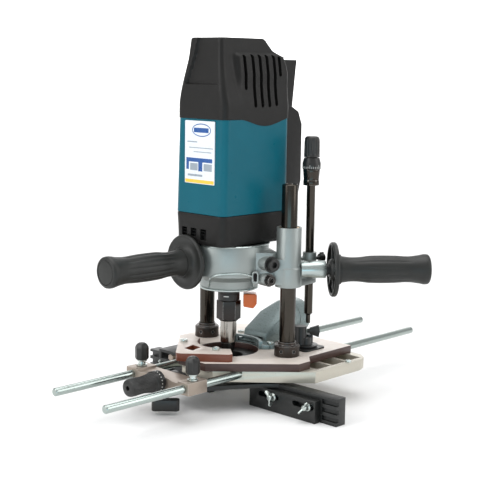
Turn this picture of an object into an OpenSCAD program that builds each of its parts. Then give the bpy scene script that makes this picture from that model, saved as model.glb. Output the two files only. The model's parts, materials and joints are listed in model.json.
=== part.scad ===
// Plunge router on a phenolic-faced base, with guide rods and an adjustable side fence.
// Origin: the spindle axis at the sole of the base casting. +Z is up, +X runs along the guide rods.

/* [Base] */
// Thickness of the aluminium base casting
cast_t = 11; // [10:0.5:12]
// Thickness of each phenolic sheet
sheet_t = 8; // [6:0.5:9]
// Radius of the opening in the sheets around the cutter
open_r = 31; // [30:0.5:33]
// Radius of the hole in the guide bush
bush_hole_r = 15; // [12:0.5:17]

/* [Columns] */
// Radius of the two plunge columns
col_r = 8; // [7:0.25:9]
// Column position along X
col_x = 25.6; // [25:0.2:27]
// Column distance from the spindle along Y
col_y = 57.8; // [57:0.2:59]
// Height of the column tops above the sole
col_top = 192; // [185:1:205]

/* [Motor] */
// Half width of the motor housing along Y
motor_hw = 33.6; // [33:0.2:35]
// Left end of the motor housing
motor_x0 = -42; // [-44:0.5:-41]
// Right end of the motor housing
motor_x1 = 51; // [50:0.5:53]
// Height of the handle axes above the sole
handle_z = 106.5; // [105:0.5:108]
// Length of a grip from its guard disc
grip_len = 97; // [90:1:105]
// Radius of the guard discs
disc_r = 27.4; // [24:1:29]

/* [Guide rods and fence] */
// Radius of the guide rods
rod_r = 4; // [3.5:0.25:4]
// Left end of the guide rods
rod_x0 = -199; // [-230:1:-150]
// Right end of the guide rods
rod_x1 = 253; // [180:1:270]
// Distance of the rear rod from the spindle
rod_ya = 27; // [26.5:0.5:28]
// Distance of the front rod from the spindle
rod_yb = -46; // [-47:0.5:-45.5]
// Lowest edge of the fence below the sole
fence_drop = 29; // [26:1:32]

/* [Hidden] */
$fn = 48;
e = 0.02;
top_z = cast_t + sheet_t;            // upper face of the main sheet
up_z = top_z + sheet_t;              // upper face of the raised sheet
rod_z = 6.9;
run = 0.05;                          // radial running clearance
L_AX = [-0.998, 0.056, 0];           // left handle direction
R_AX = [0.758, -0.652, 0];           // right handle direction
L_P = [-47.6, 14.5, handle_z + 6.4];           // left guard disc centre
R_P = [60, -87, handle_z];           // right guard disc centre
BOLT_1 = [3.4, -54.5, 113.6];         // seat of the upper clamp bolt
BOLT_2 = [2.2, -53.5, 97.8];          // seat of the lower clamp bolt
ROD_P = [57, -58];                   // depth rod axis
TUR = [62, -52];                     // turret axis
SCR_Y = [-73, -118, 40, 84];        // wing screws along the fence
BTN_A = -45;                         // bearing of the lock button around the spindle

module rrect(x0, x1, y0, y1, r) {
  translate([x0 + r, y0]) square([x1 - x0 - 2*r, y1 - y0]);
  translate([x0, y0 + r]) square([x1 - x0, y1 - y0 - 2*r]);
  for (x = [x0 + r, x1 - r]) for (y = [y0 + r, y1 - r]) translate([x, y]) circle(r);
}
module tube(ro, ri, h) { difference() { cylinder(r = ro, h = h); translate([0, 0, -1]) cylinder(r = ri, h = h + 2); } }
module along(p, a) { translate(p) rotate([0, 90, atan2(a[1], a[0])]) children(); }
module screw_head(r, h) { difference() { cylinder(r = r, h = h); translate([-r, -0.5, h - 0.9]) cube([2*r, 1, 2]); } }

// ---------- base ----------
module base_casting() color([0.74, 0.73, 0.67]) difference() {
  linear_extrude(cast_t) polygon([[-52,-31],[-37,-43],[19,-102],[90,-101],[101,-97],[108,-88],[108,66],[96,74],[22,70],[22,46],[-20,46],[-52,13]]);
  translate([0,0,-1]) cylinder(r = 21, h = 20);
  for (y = [rod_ya, rod_yb]) {
    translate([-60, y, rod_z]) rotate([0, 90, 0]) cylinder(r = rod_r + run, h = 180);
    translate([-60, y - rod_r - run, rod_z]) cube([180, 2*(rod_r + run), 20]);
  }
  for (x = [62, 96]) for (y = [rod_ya, rod_yb]) translate([x, y, -1]) cylinder(r = 2.5, h = 6);
  for (x = [30, 54, 78]) translate([x, -95, 3]) cube([20, 39, 20]);
  for (x = [40, 72]) translate([x, -36, 3]) cube([28, 56, 20]);
  for (x = [40, 72]) translate([x, 35, 3]) cube([28, 28, 20]);
}
module base_plate() color([0.88, 0.84, 0.80]) translate([0,0,cast_t]) difference() {
  linear_extrude(sheet_t) polygon([[-58,-26],[8,-90],[25,-89.5],[38,-77],[106,-76],[106,60],[90,76],[24,78],[8,78],[-58,12]]);
  translate([0,0,-1]) cylinder(r = open_r, h = 20);
  for (y = [-col_y, col_y]) translate([col_x, y, -1]) cylinder(r = col_r, h = 20);
}
module upper_plate() color([0.90, 0.86, 0.82]) translate([0,0,top_z]) difference() {
  linear_extrude(sheet_t) polygon([[-71,0],[-69,-4],[-38,-39],[-34,-40],[-21,-24.5],[-10,0],[-12,31],[-6,44],[-10,50],[-18,53],[-70,3]]);
  translate([0,0,-1]) cylinder(r = open_r + 0.6, h = 20);
  translate([0, 0, -1]) linear_extrude(20) polygon([[-53,-3],[-38,1],[-37,13.5],[-52.5,9.5]]);
  for (p = [[-34, 30],[-34.5,-17]]) translate([p[0], p[1], -1]) cylinder(r = 1.6, h = 20);
}
module guide_bush() color([0.08, 0.09, 0.09]) difference() {
  union() { cylinder(r = 20.8, h = cast_t); translate([0,0,cast_t]) cylinder(r = open_r - 0.3, h = 2.5); }
  translate([0,0,-1]) cylinder(r = bush_hole_r, h = 30);
}
module plate_screws() color([0.75, 0.78, 0.76]) {
  for (p = [[-34, 30],[-34.5,-17]]) { translate([p[0], p[1], up_z]) screw_head(3.8, 2.6); translate([p[0], p[1], up_z - 6]) cylinder(r = 1.6, h = 6); }
  for (p = [[63, 43],[98, 40]]) translate([p[0], p[1], top_z]) screw_head(3.6, 2.2);
  translate([74, -98.4, cast_t]) screw_head(3, 2);
  for (y = [-27, 27]) translate([34.5, y, top_z]) { translate([0,0,4.5]) screw_head(3.4, 2.2); cylinder(r = 1.85, h = 4.5); }
}
module columns() color([0.14, 0.13, 0.12]) { column(col_y); column(-col_y); }
module column(y) translate([col_x, y, cast_t]) difference() {
  union() { cylinder(r = col_r, h = col_top - cast_t - 1); translate([0,0,col_top - cast_t - 1]) cylinder(r1 = col_r, r2 = col_r - 1, h = 1); }
  translate([0,0,20]) cylinder(r = 5.2, h = 300);
}
module column_collars() color([0.19, 0.17, 0.16]) for (y = [-col_y, col_y]) translate([col_x, y, top_z]) difference() {
  union() { cylinder(r = 12.7, h = 10.9); translate([0,0,10.9]) cylinder(r1 = 12.7, r2 = 11.9, h = 0.8); translate([0,0,11.7]) cylinder(r = 9.2, h = 2.8); }
  translate([0,0,-1]) cylinder(r = col_r, h = 30);
  for (a = [-165, -105, -45, 45, 135]) rotate([0, 0, a]) translate([11, 0, 6]) rotate([0, 90, 0]) cylinder(r = 1.7, h = 4);
}
module grub_screws() color([0.10, 0.10, 0.10]) {
  for (y = [-col_y, col_y]) for (a = [-165, -105, -45, 45, 135]) translate([col_x, y, top_z + 6]) rotate([0, 0, a]) translate([11, 0, 0]) rotate([0, 90, 0]) cylinder(r = 1.65, h = 0.8);
  for (x = [62, 96]) for (y = [rod_ya, rod_yb]) translate([x, y, 0.3]) cylinder(r = 2.45, h = 2.5);
}
module dust_hood() color([0.50, 0.57, 0.57]) translate([0, 0, top_z]) {
  difference() {
    union() {
      // lip around the rear of the opening, with its two feet
      difference() {
        union() { cylinder(r = 42, h = 4.5); cylinder(r = 35, h = 9); }
        rotate([0,0,55]) translate([-60, 0, -1]) cube([120, 60, 30]);
        rotate([0,0,125]) translate([-60, 0, -1]) cube([120, 60, 30]);
      }
      hull() {
        translate([40, -13, 0]) cube([4, 32, 12]);
        translate([66, -15, 0]) cube([6, 34, 26]);
        translate([84, 2, 19.5]) rotate([0, 90, 0]) cylinder(r = 19.4, h = 3, $fn = 32);
      }
    }
    hull() {
      translate([26, -9, 2]) cube([16, 24, 5.6]);
      translate([66, -12, 2]) cube([6, 28, 21]);
      translate([85, 2, 19.5]) rotate([0, 90, 0]) cylinder(r = 16.4, h = 4, $fn = 32);
    }
    translate([0,0,-1]) cylinder(r = open_r, h = 30);
    for (y = [-27, 27]) translate([34.5, y, -1]) cylinder(r = 1.9, h = 20);
  }
  // round outlet
  translate([86.9, 2, 19.5]) rotate([0, 90, 0]) tube(19.4, 16.5, 22);
}
module turret_foot() color([0.08, 0.08, 0.08]) translate([TUR[0], TUR[1], top_z]) {
  linear_extrude(1.6) rrect(-15, 16, -13, 10, 4);
  translate([0,0,1.6]) cylinder(r1 = 12.5, r2 = 10, h = 1.6);
  cylinder(r = 2.5, h = 7);
}
module side_rail() color([0.10, 0.10, 0.10]) {
  translate([-29, 47, 7.6]) cube([50.6, 27, 3]);
  translate([-29, 70.2, 0.4]) cube([50.6, 3.8, 7.2]);
  translate([14, 52, 0.4]) cube([7.6, 18.2, 7.2]);
}
module side_bar() color([0.58, 0.53, 0.50]) translate([-27.5, 57.5, 3.6]) rotate([0, 90, 0]) cylinder(r = 3.9, h = 41.4, $fn = 6);
module plunge_springs() color([0.5, 0.5, 0.5]) for (y = [-col_y, col_y]) translate([col_x, y, cast_t + 20.2]) tube(4.4, 3.2, 120);

// ---------- carriage ----------
module carriage_casting() color([0.56, 0.61, 0.60]) difference() {
  union() {
    difference() {
      union() {
        translate([0,0,100]) cylinder(r = 40, h = 30.5);
        translate([0,0,94]) cylinder(r1 = 31, r2 = 40, h = 6);
        translate([0,0,84.5]) cylinder(r1 = 29, r2 = 31, h = 9.5);
        translate([0,0,93]) linear_extrude(31) polygon([[-4,-38],[7,-53],[16,-51],[30,-28],[12,-34]]);
        for (s = [-1, 1]) {
          translate([0,0,93]) linear_extrude(25) polygon([[s < 0 ? -4 : -12, s*37],[s < 0 ? 8 : 2, s*56],[col_x - 8, s*67],[col_x + 8, s*67],[col_x + 11, s*56],[39, s*16],[20, s*20]]);
        }
      }
      translate([0,0,103]) cylinder(r = 34, h = 60);
      translate([0,0,90]) cylinder(r = 26, h = 30);
    }
    translate([0,0,84.5]) cylinder(r = 21, h = 12);
    for (s = [-1, 1]) translate([col_x, s*col_y, 89.8]) { cylinder(r = 13.4, h = 18.5); translate([0,0,18.5]) cylinder(r1 = 13.4, r2 = 12.4, h = 1.5); translate([0,0,20]) cylinder(r = 12.4, h = 39.4); }
    // bracket and boss for the depth rod
    translate([0,0,90]) linear_extrude(7.5) polygon([[col_x + 8, -50],[ROD_P[0] - 2, -51],[ROD_P[0] + 6.5, -55],[ROD_P[0] + 6.5, -62],[ROD_P[0] - 1, -65.4],[col_x + 6, -68]]);
    translate([0,0,97]) linear_extrude(19) polygon([[col_x + 10, -51],[ROD_P[0] - 3, -51],[ROD_P[0] - 3, -57],[col_x + 10, -57]]);
    translate([ROD_P[0], ROD_P[1], 90]) cylinder(r = 7, h = 31);
    // two clamp lugs on the front arm
    translate(BOLT_1) rotate([90, 0, -10.4]) translate([0,0,-13]) cylinder(r = 7.4, h = 13);
    translate(BOLT_2) rotate([90, 0, -10.4]) translate([0,0,-13]) cylinder(r = 6.4, h = 13);
    // seat for the left handle
    along(L_P, -L_AX) translate([0,0,5.5]) cylinder(r = 9.5, h = 9);
  }
  for (s = [-1, 1]) translate([col_x, s*col_y, 80]) cylinder(r = 10.5, h = 90);
  translate([0,0,84]) cylinder(r = 16, h = 20);
  translate([0,0,70]) cylinder(r = 12, h = 20);
  translate([ROD_P[0], ROD_P[1], 80]) cylinder(r = 4.3 + run, h = 60);
  along(L_P, -L_AX) translate([0,0,4]) cylinder(r = 5 + run, h = 22);
  translate([0,0,96]) cylinder(r = 30, h = 60);
}
module column_bushes() color([0.70, 0.55, 0.30]) for (s = [-1, 1]) translate([col_x, s*col_y, 90.2]) tube(10.5, col_r + run, 58.6);
module clamp_bolts() color([0.10, 0.10, 0.10]) {
  translate(BOLT_1) rotate([90, 0, -10.4]) { cylinder(r = 6.2, h = 2.4); translate([0,0,2.4]) difference() { cylinder(r = 4.4, h = 3.6); translate([0,0,1.4]) cylinder(r = 2.1, h = 4, $fn = 6); } }
  translate(BOLT_2) rotate([90, 0, -10.4]) { cylinder(r = 5.6, h = 3.2); translate([0,0,3.2]) difference() { cylinder(r = 4.6, h = 2.2); translate([0,0,0.6]) cylinder(r = 2.0, h = 4, $fn = 6); } }
}
module lower_housing() color([0.14, 0.13, 0.12]) difference() {
  translate([0,0,132.2]) linear_extrude(29.8) rrect(motor_x0, motor_x1, -motor_hw, motor_hw, 11);
  translate([0,0,136]) linear_extrude(40) rrect(motor_x0 + 3, motor_x1 - 3, -motor_hw + 3, motor_hw - 3, 9);
  translate([0,0,120]) cylinder(r = 28, h = 40);
  for (y = [20.5, 7, -6.5]) translate([motor_x0 - 2, y - 4, 139]) cube([8, 8, 8.4]);
}
module motor_shell() color([0.0, 0.42, 0.50]) difference() {
  translate([0,0,162]) linear_extrude(93) rrect(motor_x0, motor_x1, -motor_hw, motor_hw, 9);
  translate([0,0,160]) linear_extrude(100) rrect(motor_x0 + 3, motor_x1 - 3, -motor_hw + 3, motor_hw - 3, 7);
}
module top_cap() color([0.15, 0.15, 0.14]) difference() {
  intersection() {
    translate([0,0,255]) linear_extrude(80) rrect(motor_x0 - 0.4, motor_x1 + 0.4, -motor_hw - 0.4, motor_hw + 0.4, 8);
    translate([0, 60, 0]) rotate([90, 0, 0]) linear_extrude(120) polygon([[-60,255],[60,255],[60,262],[51.4,303],[48.5,314],[43,319.5],[37,321.5],[25,333],[-33,333],[-36,306],[-42.4,284],[-60,262]]);
    rotate([90, 0, 90]) translate([0, 0, -70]) linear_extrude(140) polygon([[-60,255],[-60,262],[-34,270],[-26,318],[-24,333],[24,333],[26,318],[34,270],[60,262],[60,255]]);
  }
  difference() {
    translate([0,0,254]) linear_extrude(76) rrect(motor_x0 + 8, motor_x1 - 6, -22, 22, 6);
    translate([-60, -60, 312]) cube([120, 120, 30]);
  }
  for (v = [[-11.5, 283], [0, 266], [10, 266], [20, 266], [30, 267], [37.5, 296]])
    for (s = [-1, 1]) translate([v[0] - 1.6, s < 0 ? -40 : 18, v[1]]) cube([3.2, 22, 318 - v[1]]);
}
module label_plate() color([0.86, 0.88, 0.90]) translate([motor_x0 - 0.5, -21.2, 191.8]) cube([0.5, 41.4, 61.2]);
module rear_box() color([0.13, 0.12, 0.11]) difference() {
  translate([0, 24, 0]) rotate([90, 0, 0]) linear_extrude(48) polygon([[motor_x1 + 0.45,267],[64,266],[74,260.6],[79.5,248],[79.5,190],[72,160],[motor_x1,160],[motor_x1,254.9],[motor_x1 + 0.45,254.9]]);
  translate([0, 21, 0]) rotate([90, 0, 0]) linear_extrude(42) polygon([[motor_x1 + 2.5,263.5],[63,262.5],[72,258],[76.5,247],[76.5,190],[69.5,163],[motor_x1 - 1,163],[motor_x1 - 1,252],[motor_x1 + 2.5,252]]);
  translate([70, -6, 205]) cube([20, 12, 19]);
}
module rear_riser() color([0.11, 0.10, 0.10]) difference() {
  translate([0, 16, 0]) rotate([90, 0, 0]) linear_extrude(32) polygon([[55,266.8],[64,266.05],[72.6,261.45],[78.5,313],[57,313]]);
  translate([67.5, 0, 302]) cylinder(r = 6, h = 20);
}
module cord_gland() color([0.06, 0.06, 0.06]) translate([67.5, 0, 302]) tube(6, 3.6, 14);
module stator() color([0.45, 0.42, 0.38]) translate([0,0,170]) tube(29.5, 18.5, 55);
module brush_holders() color([0.72, 0.55, 0.25]) for (s = [-1, 1]) translate([0, s*11.6, 240]) rotate([-90*s, 0, 0]) cylinder(r = 4, h = 18.8);
module end_shield() color([0.6, 0.6, 0.6]) difference() {
  translate([0,0,256]) linear_extrude(6) rrect(motor_x0 + 8.2, motor_x1 - 6.2, -21.8, 21.8, 5.8);
  translate([0,0,250]) cylinder(r = 11, h = 20);
  for (x = [-24, 30]) translate([x, 0, 250]) cylinder(r = 7, h = 20);
}
module spindle_bearings() color([0.7, 0.7, 0.7]) { translate([0,0,84.1]) tube(16, 6 + run, 11); translate([0,0,255.8]) tube(11, 5 + run, 7); }
module handle_bosses() color([0.70, 0.74, 0.73]) difference() {
  along([col_x, -col_y, handle_z], R_AX) translate([0,0,12.2]) cylinder(r = 8.8, h = 24.8);
  translate([col_x, -col_y, 80]) cylinder(r = 13.45, h = 30);
  translate([col_x, -col_y, 105]) cylinder(r = 12.45, h = 28.3);
}
module grip_profile() { polygon([[0,-2.5],[disc_r - 1.2,-2.5],[disc_r,-1],[disc_r,1],[disc_r - 1.2,2.5],[15,3.6],[13.3,9],[12.3,18],[12.4,26],[13.5,34],[13.9,46],[13.8,62],[13.2,72],[13.5,82],[14.6,91],[14.8,grip_len - 3],[0,grip_len - 3]]); }
module handle_body(p, a) along(p, a) difference() { rotate_extrude() grip_profile(); translate([0,0,-5]) cylinder(r = 5, h = 30); }
module right_handle() color([0.18, 0.18, 0.17]) { handle_body(R_P, R_AX); along(R_P, R_AX) translate([0,0,-8]) tube(6.5, 5, 5.6); }
module right_end_cap() color([0.12, 0.12, 0.12]) along(R_P, R_AX) { translate([0,0,grip_len - 3]) cylinder(r1 = 14.2, r2 = 13, h = 3); }
module left_handle() color([0.18, 0.18, 0.17]) { handle_body(L_P, L_AX); }
module left_lock_stud() color([0.55, 0.55, 0.55]) along(L_P, -L_AX) translate([0,0,-24.5]) cylinder(r = 5, h = 43);
module left_end_cap() color([0.12, 0.12, 0.12]) along(L_P, L_AX) { translate([0,0,grip_len - 3]) cylinder(r1 = 14.2, r2 = 13, h = 3); }

// ---------- spindle ----------
module spindle_shaft() color([0.20, 0.19, 0.18]) {
  translate([0,0,71]) cylinder(r = 11, h = 10);
  translate([0,0,81]) cylinder(r = 8, h = 3);
  translate([0,0,84]) cylinder(r = 6, h = 166);
  translate([0,0,250]) cylinder(r = 5, h = 20);
}
module armature_core() color([0.5, 0.42, 0.36]) translate([0,0,170]) tube(17.6, 6, 55);
module commutator() color([0.72, 0.42, 0.25]) translate([0,0,232]) tube(11, 6, 16);
module cooling_fan() color([0.15, 0.15, 0.15]) translate([0,0,140]) difference() {
  union() { tube(10, 6, 14); tube(26, 9.5, 2.5); for (a = [0:45:315]) rotate([0,0,a]) translate([9.5, -1, 2]) cube([15.5, 2, 11]); }
  translate([0,0,-1]) cylinder(r = 6, h = 30);
}
module collet_nut() color([0.17, 0.16, 0.16]) translate([0,0,50]) difference() {
  union() { translate([0,0,1.5]) cylinder(r = 12.4, h = 19.5, $fn = 6); cylinder(r1 = 9.6, r2 = 10.8, h = 1.5); }
  translate([0,0,-1]) cylinder(r = 8.2, h = 6);
}
module cutter() color([0.62, 0.62, 0.60]) { translate([0,0,27]) cylinder(r = 8.2, h = 28); translate([0,0,16.6]) difference() { cylinder(r = 7.6, h = 10.4); for (a = [20, 200]) rotate([0,0,a]) translate([1.2, 2.4, -1]) cube([9, 8, 9]); } }
module lock_button() color([0.82, 0.36, 0.10]) rotate([0, 0, BTN_A]) {
  translate([15, -8, 63]) cube([11.5, 16, 14.4]);
  translate([26.5, -6, 65]) cube([1.2, 12, 10.4]);
}
module power_rocker() color([0.07, 0.07, 0.07]) { translate([78, 0, 214.5]) rotate([90, 0, 0]) translate([0,0,-5.7]) cylinder(r = 3, h = 11.4); difference() { translate([78, -5.7, 206]) cube([3.6, 11.4, 17]); translate([83.6, -10, 214.5]) rotate([0, 8, 0]) cube([6, 20, 20]); } }

// ---------- depth stop ----------
module depth_rod() color([0.16, 0.15, 0.14]) translate([ROD_P[0], ROD_P[1], 0]) {
  translate([0,0,58]) cylinder(r = 4.3, h = 131);
  translate([0,0,189]) cylinder(r = 8, h = 5);
  translate([0,0,194]) cylinder(r1 = 7.6, r2 = 8.6, h = 10.8);
  translate([0,0,204.8]) cylinder(r = 3, h = 32);
  translate([0,0,56]) cylinder(r1 = 2.3, r2 = 4.3, h = 2);
  translate([0,0,47.6]) cylinder(r = 2.3, h = 8.5);
}
module depth_scale() color([0.10, 0.10, 0.10]) translate([ROD_P[0], ROD_P[1], 205]) difference() { union() { cylinder(r = 9.2, h = 7); translate([0,0,7]) cylinder(r1 = 9.2, r2 = 7.6, h = 5); } translate([0,0,-1]) cylinder(r = 3 + run, h = 20); }
module depth_knob() color([0.10, 0.10, 0.10]) translate([ROD_P[0], ROD_P[1], 217.2]) difference() {
  union() { cylinder(r = 7.6, h = 17.5); translate([0,0,17.5]) cylinder(r1 = 7.4, r2 = 6.6, h = 3.4); for (a = [0:20:340]) rotate([0,0,a]) translate([7.4, -0.6, 1]) cube([0.7, 1.2, 15.5]); }
  translate([0,0,-1]) cylinder(r = 3 + run, h = 20.8);
}
module depth_screw() color([0.08, 0.08, 0.08]) translate([ROD_P[0] + 7.3, ROD_P[1] - 2, 114]) rotate([0, 90, -12]) { cylinder(r = 1.6, h = 5); translate([0,0,5]) cylinder(r = 4.2, h = 4.6); translate([-5.5, -1, 5.6]) cube([11, 2, 4]); }
module turret() color([0.09, 0.09, 0.09]) translate([TUR[0], TUR[1], 22.3]) difference() {
  union() {
    cylinder(r = 12, h = 0.9);
    translate([0,0,0]) cylinder(r = 5, h = 8);
    translate([-3, 5.4, 0]) cylinder(r = 6.2, h = 19.7);
    translate([7.4, 2.6, 0]) cylinder(r = 4, h = 10);
  }
  translate([0,0,-1]) cylinder(r = 2.5 + run, h = 5.8);
}
module turret_wing() color([0.13, 0.13, 0.12]) translate([TUR[0] - 3, TUR[1] + 5.4, 37]) rotate([0, 0, -47]) translate([6.6, 0, 0]) {
  rotate([0, 90, 0]) cylinder(r = 2.2, h = 4);
  rotate([90, 0, 0]) translate([0, 0, -2]) linear_extrude(4) polygon([[2.5,-3],[12,-6.2],[13.2,0],[12,6.2],[2.5,3]]);
}

// ---------- guide rods, clamp block, fence ----------
module guide_rods() color([0.72, 0.78, 0.76]) for (y = [rod_ya, rod_yb]) translate([rod_x0, y, rod_z]) rotate([0, 90, 0]) {
  cylinder(r1 = rod_r - 0.8, r2 = rod_r, h = 0.8);
  translate([0,0,0.8]) cylinder(r = rod_r, h = rod_x1 - rod_x0 - 1.6);
  translate([0,0,rod_x1 - rod_x0 - 0.8]) cylinder(r1 = rod_r, r2 = rod_r - 0.8, h = 0.8);
}
module clamp_block() color([0.60, 0.55, 0.50]) difference() {
  union() {
    translate([-105, rod_ya - 8, 1]) cube([24, 17, 12]);
    translate([-105, rod_yb - 7, 1]) cube([24, 15, 12]);
    translate([-93, 0, 0]) linear_extrude(11) polygon([[-12,rod_ya - 7],[-12,14],[-8,4],[-8,-20],[-12,-30],[-12,rod_yb + 7],[12,rod_yb + 7],[12,rod_ya - 7]]);
  }
  for (y = [rod_ya, rod_yb]) translate([-120, y, rod_z]) rotate([0, 90, 0]) cylinder(r = rod_r + run, h = 60);
  for (y = [rod_ya, rod_yb]) translate([-93, y, rod_z]) cylinder(r = 2.5, h = 20);
  translate([-110, -8, rod_z - 0.4]) rotate([0, 90, 0]) cylinder(r = 3.05, h = 40);
  translate([-93, -8, -5]) cylinder(r = 3.05, h = 7.9);
}
module knob_shape(r, h) { cylinder(r = r - 1.9, h = h - 1); translate([0,0,2]) linear_extrude(h - 5) { circle(r - 0.8); for (a = [0:60:300]) rotate(a) translate([r - 2, 0]) circle(2); } translate([0,0,h - 3]) cylinder(r1 = r - 1.1, r2 = r - 3, h = 3); }
module block_knob(y) translate([-93, y, 11]) { cylinder(r = 2.4, h = 5); translate([0,0,2.3]) cylinder(r = 4.6, h = 6); translate([0,0,8.2]) knob_shape(6.6, 17.5); }
module block_knob_front() color([0.10, 0.10, 0.10]) block_knob(rod_yb);
module block_knob_rear() color([0.10, 0.10, 0.10]) block_knob(rod_ya);
module lower_knob() color([0.08, 0.08, 0.08]) translate([-93, -8, 0]) {
  translate([0,0,-14]) cylinder(r = 3, h = 16.6);
  translate([0,0,-24.5]) linear_extrude(11) rotate(-45) rrect(-13.5, 13.5, -5, 5, 4);
}
module micro_knob() color([0.09, 0.09, 0.09]) translate([-101.2, -8, rod_z - 0.4]) rotate([0, -90, 0]) {
  translate([0,0,-26]) cylinder(r = 3, h = 28);
  translate([0,0,0.4]) cylinder(r = 10.5, h = 10);
  translate([0,0,10.4]) cylinder(r1 = 9.4, r2 = 8.6, h = 27.6);
  translate([0,0,38]) cylinder(r1 = 8.6, r2 = 7.4, h = 1.5);
}
module fence_body() color([0.09, 0.10, 0.10]) difference() {
  union() {
    // carrier plate below the base, open in the middle for the cutter
    translate([0,0,-6.6]) linear_extrude(4) polygon([[-63,-33],[-40,-45],[-11,-63],[9,-88],[10.6,-88],[10.6,-36],[-48,-27],[-48,11],[10.6,20],[10.6,71],[9,72],[-11,46],[-40,29],[-63,17]]);
    // link to the clamp block
    translate([-76, -16, -6.6]) cube([16, 16, 4]);
    translate([-79, -16, -6.6]) cube([5, 16, 17.2]);
    // bars
    for (s = [0, 1]) translate([-2.6, s ? 20 : -147, -fence_drop]) difference() {
      cube([13.2, s ? 98 : 111, fence_drop - 2.4]);
      for (z = [3.5, 11.4, 19.3]) translate([-1, s ? 80 : -1, z]) cube([4.5, 19, 4.6]);
    }
  }
  translate([-90, -8, rod_z - 0.4]) rotate([0, 90, 0]) cylinder(r = 3 + run, h = 20);
  for (y = SCR_Y) translate([-20, y, -14]) rotate([0, 90, 0]) cylinder(r = 2 + run, h = 28);
}
module jaw(y0, slots) translate([-10.6, y0, -fence_drop]) difference() {
  cube([7.7, 85.5, fence_drop - 7.2]);
  for (y = slots) translate([-1, y, 12.6]) { cube([20, 22, 5.2]); translate([0, 0, 2.6]) rotate([0,90,0]) cylinder(r = 2.6, h = 20); translate([0, 22, 2.6]) rotate([0,90,0]) cylinder(r = 2.6, h = 20); }
}
module jaw_front() color([0.10, 0.11, 0.11]) jaw(-127, [4, 49]);
module jaw_rear() color([0.10, 0.11, 0.11]) jaw(16, [12, 57]);
module wing_screw(i) color([0.78, 0.80, 0.78]) translate([-10.8, SCR_Y[i], -14]) rotate([0, -90, 0]) {
  translate([0,0,-18]) cylinder(r = 2, h = 18);
  cylinder(r = 4.6, h = 1);
  translate([0,0,1]) cylinder(r = 3.6, h = 5);
  translate([-1, -7, 2.5]) cube([2, 14, 5]);
}
module wing_screw_1() wing_screw(0);
module wing_screw_2() wing_screw(1);
module wing_screw_3() wing_screw(2);
module wing_screw_4() wing_screw(3);

base_casting();
base_plate();
upper_plate();
guide_bush();
plate_screws();
columns();
column_collars();
grub_screws();
dust_hood();
turret_foot();
side_rail();
side_bar();
plunge_springs();
carriage_casting();
column_bushes();
clamp_bolts();
lower_housing();
motor_shell();
top_cap();
label_plate();
rear_box();
rear_riser();
cord_gland();
stator();
brush_holders();
end_shield();
spindle_bearings();
handle_bosses();
right_handle();
right_end_cap();
left_handle();
left_lock_stud();
left_end_cap();
spindle_shaft();
armature_core();
commutator();
cooling_fan();
collet_nut();
cutter();
lock_button();
power_rocker();
depth_rod();
depth_scale();
depth_knob();
depth_screw();
turret();
turret_wing();
guide_rods();
clamp_block();
block_knob_front();
block_knob_rear();
lower_knob();
micro_knob();
fence_body();
jaw_front();
jaw_rear();
wing_screw_1();
wing_screw_2();
wing_screw_3();
wing_screw_4();
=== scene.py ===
import bpy, bmesh, math, json
from mathutils import Vector, Matrix


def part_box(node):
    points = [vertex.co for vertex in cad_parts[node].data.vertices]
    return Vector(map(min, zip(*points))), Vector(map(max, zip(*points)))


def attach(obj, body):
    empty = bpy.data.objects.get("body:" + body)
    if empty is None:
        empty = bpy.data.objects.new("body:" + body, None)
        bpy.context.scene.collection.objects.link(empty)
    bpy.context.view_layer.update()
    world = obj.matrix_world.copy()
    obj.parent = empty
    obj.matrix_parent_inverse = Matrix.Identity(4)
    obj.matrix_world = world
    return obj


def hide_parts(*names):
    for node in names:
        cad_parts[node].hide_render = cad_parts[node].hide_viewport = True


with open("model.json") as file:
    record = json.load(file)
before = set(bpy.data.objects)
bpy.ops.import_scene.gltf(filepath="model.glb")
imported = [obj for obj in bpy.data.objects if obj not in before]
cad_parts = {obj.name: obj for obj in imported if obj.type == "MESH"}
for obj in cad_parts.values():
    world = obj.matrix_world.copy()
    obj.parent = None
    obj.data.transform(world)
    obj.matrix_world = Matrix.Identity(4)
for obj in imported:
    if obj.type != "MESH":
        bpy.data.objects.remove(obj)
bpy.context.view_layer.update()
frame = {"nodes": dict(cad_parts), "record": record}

N = frame["nodes"]
MM = 0.001
BODY = {n: b for b, ns in frame["record"]["behaviour"]["bodies"].items() for n in ns}

# ------------------------------------------------------------------ camera
def make_camera():
    f, phi, rho = 1130.09, math.radians(8.71), math.radians(0.80)
    xa = Vector((0.6979, -0.7162, 0)); ya = Vector((0.7162, 0.6979, 0)); za = Vector((0, 0, 1))
    F = ya * math.cos(phi) - za * math.sin(phi)
    U = ya * math.sin(phi) + za * math.cos(phi)
    r = xa * math.cos(rho) + U * math.sin(rho)
    u = U * math.cos(rho) - xa * math.sin(rho)
    cam = bpy.data.cameras.new("cam")
    cam.lens = f / 480.0 * 36.0
    cam.sensor_width = 36.0
    cam.clip_start = 0.05
    cam.clip_end = 50
    o = bpy.data.objects.new("cam", cam)
    bpy.context.scene.collection.objects.link(o)
    m = Matrix((r, u, -F)).transposed().to_4x4()
    m.translation = Vector((-0.8015, -0.7959, 0.3052))
    o.matrix_world = m
    bpy.context.scene.camera = o
make_camera()
bpy.context.scene.view_settings.view_transform = "Standard"

# ------------------------------------------------------------------ node material helpers
def new_mat(name):
    m = bpy.data.materials.new(name)
    m.use_nodes = True
    nt = m.node_tree
    nt.nodes.clear()
    out = nt.nodes.new("ShaderNodeOutputMaterial")
    b = nt.nodes.new("ShaderNodeBsdfPrincipled")
    nt.links.new(b.outputs[0], out.inputs[0])
    return m, nt, b

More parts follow.
